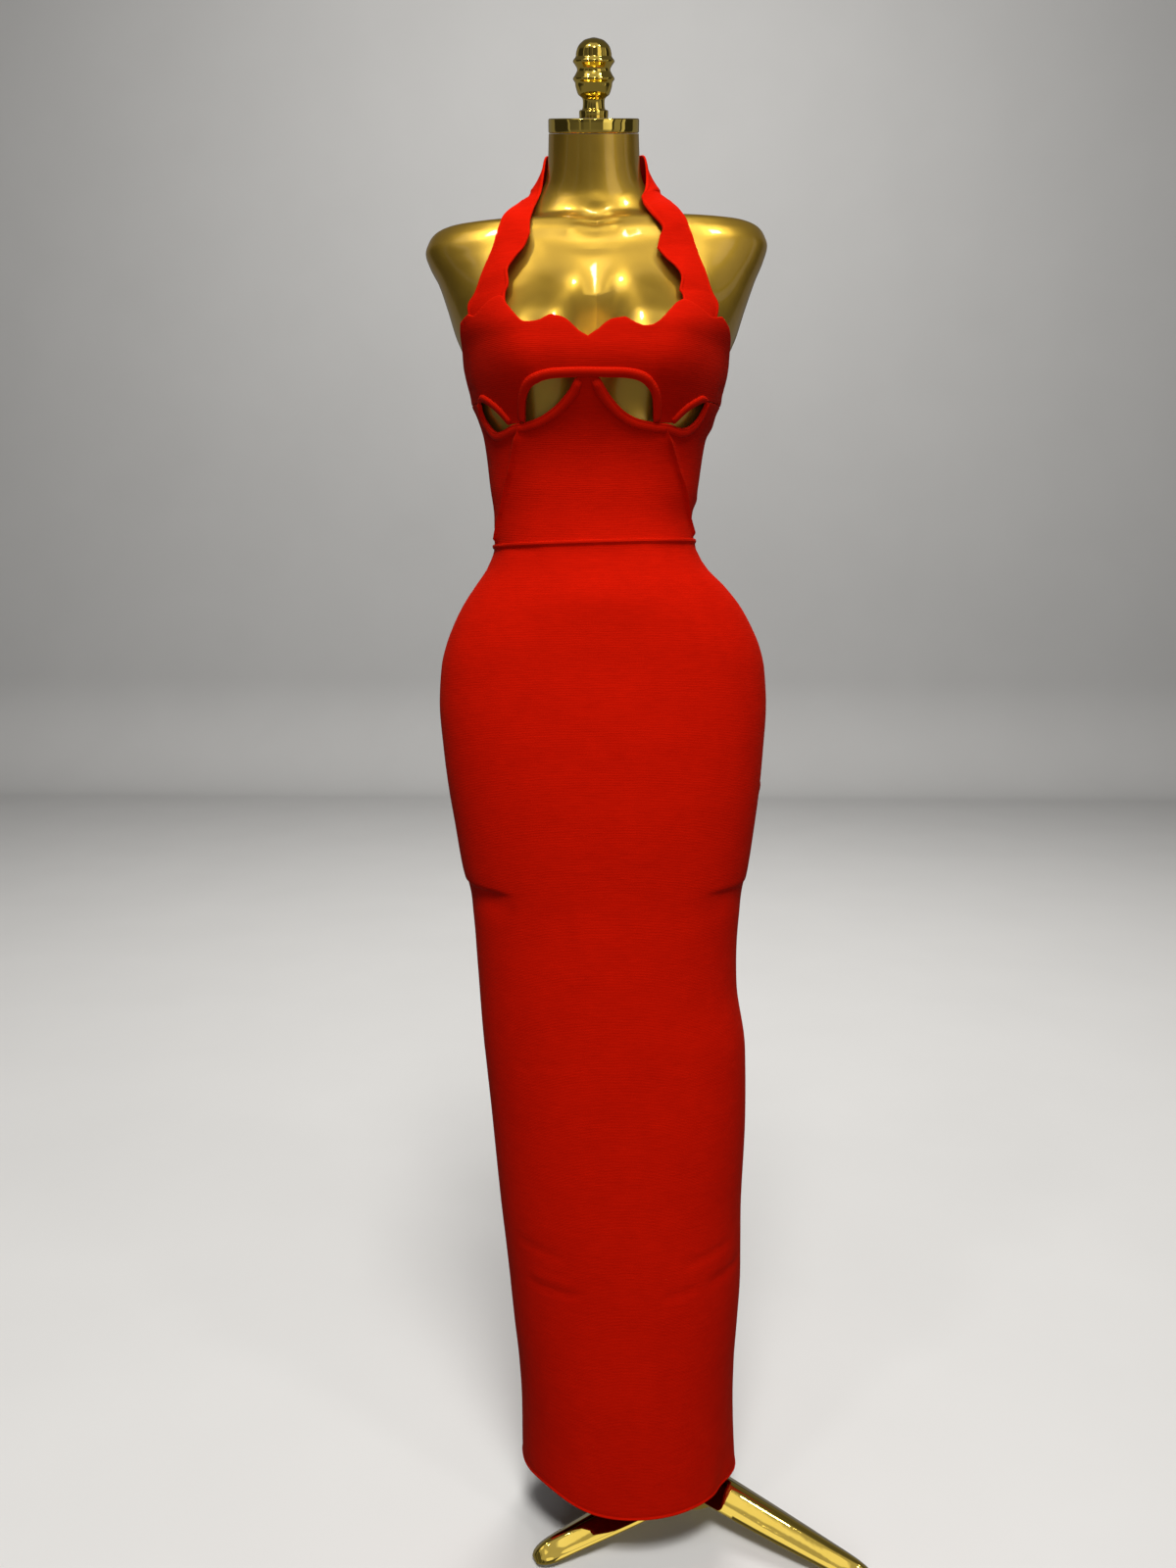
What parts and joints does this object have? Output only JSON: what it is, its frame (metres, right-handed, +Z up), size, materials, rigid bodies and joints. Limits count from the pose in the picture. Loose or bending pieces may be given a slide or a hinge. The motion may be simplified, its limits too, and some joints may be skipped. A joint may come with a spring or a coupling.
{
  "type": "bodycon dress on a limbless dress form",
  "caption": "Long halter bodycon dress with scalloped neckline and cut-out bust, worn on a limbless lacquered dress form with neck cap, finial, pole and tripod base.",
  "frame": {"origin": "centre of the part's bounding box seen from above, on the floor under the foot pads", "axes": "+Z up along the neck, -Y the way the wearer's front faces, +X towards the side the pole stands on (the wearer's left)"},
  "size_m": [0.4972, 0.356, 1.6421],
  "materials": {
    "knit": "matt bandage knit with fine level ribs",
    "binding": "matt folded knit binding",
    "form_lacquer": "satin champagne-gold lacquer",
    "polished_gold": "polished gold",
    "clear_pad": "clear foot pad"
  },
  "bodies": {
    "root": {"dress_form": "form_lacquer", "neck_disc": "polished_gold", "finial": "polished_gold", "pole": "polished_gold", "pole_socket": "polished_gold", "base_hub": "polished_gold", "leg_plus_x": "polished_gold", "leg_minus_x": "polished_gold", "leg_behind": "polished_gold", "foot_pad_plus_x": "clear_pad", "foot_pad_minus_x": "clear_pad", "foot_pad_behind": "clear_pad", "skirt_front": "knit", "skirt_back": "knit", "bust_panel": "knit", "midriff_front": "knit", "side_front_right": "knit", "side_front_left": "knit", "back_bodice": "knit", "binding_arch": "binding", "binding_leaf_right": "binding", "binding_leaf_left": "binding", "binding_under_right": "binding", "binding_under_left": "binding", "strap_right": "knit", "strap_left": "knit"}
  },
  "joints": []
}
